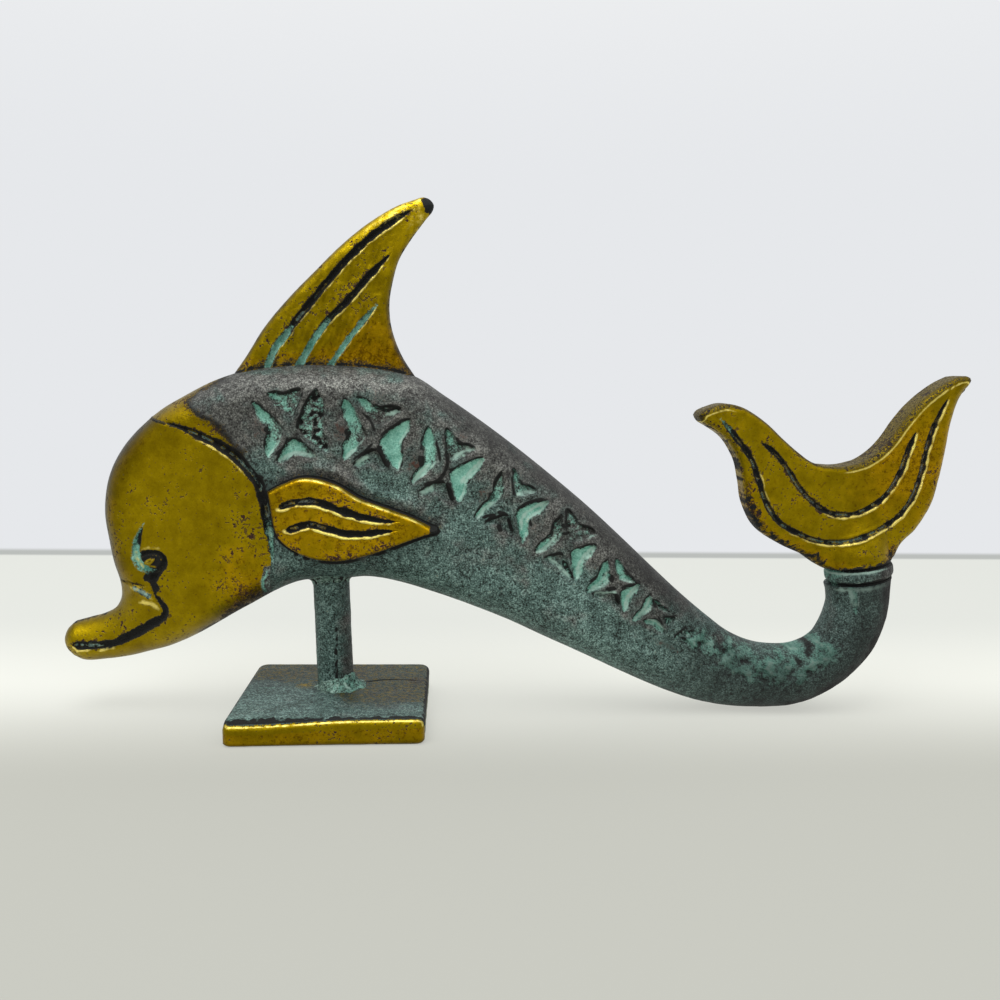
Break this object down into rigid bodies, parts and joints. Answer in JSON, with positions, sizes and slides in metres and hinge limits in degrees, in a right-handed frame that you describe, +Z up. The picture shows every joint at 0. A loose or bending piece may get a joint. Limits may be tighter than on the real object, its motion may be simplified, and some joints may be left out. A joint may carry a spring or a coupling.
{
  "type": "dolphin figurine",
  "caption": "Flat cast brass dolphin ornament with a curled tail, carried by a round post on a square plate.",
  "frame": {"origin": "on the post's axis, at the underside of the base plate", "axes": "+X from the nose towards the tail, +Z up, +Y away from the side with the left flipper"},
  "size_m": [0.1657, 0.034, 0.093],
  "materials": {
    "burnished_brass": "burnished, with dark pits and patina left in the carving",
    "verdigris_patina": "matte speckled grey-green verdigris patina",
    "braze": "rough pale green braze"
  },
  "bodies": {
    "root": {"head": "burnished_brass", "body": "verdigris_patina", "dorsal_fin": "burnished_brass", "left_flipper": "burnished_brass", "right_flipper": "burnished_brass", "tail_fluke": "burnished_brass", "tail_collar": "verdigris_patina", "support_post": "verdigris_patina", "base_plate": "verdigris_patina", "foot_braze": "braze", "belly_braze": "braze"}
  },
  "joints": []
}
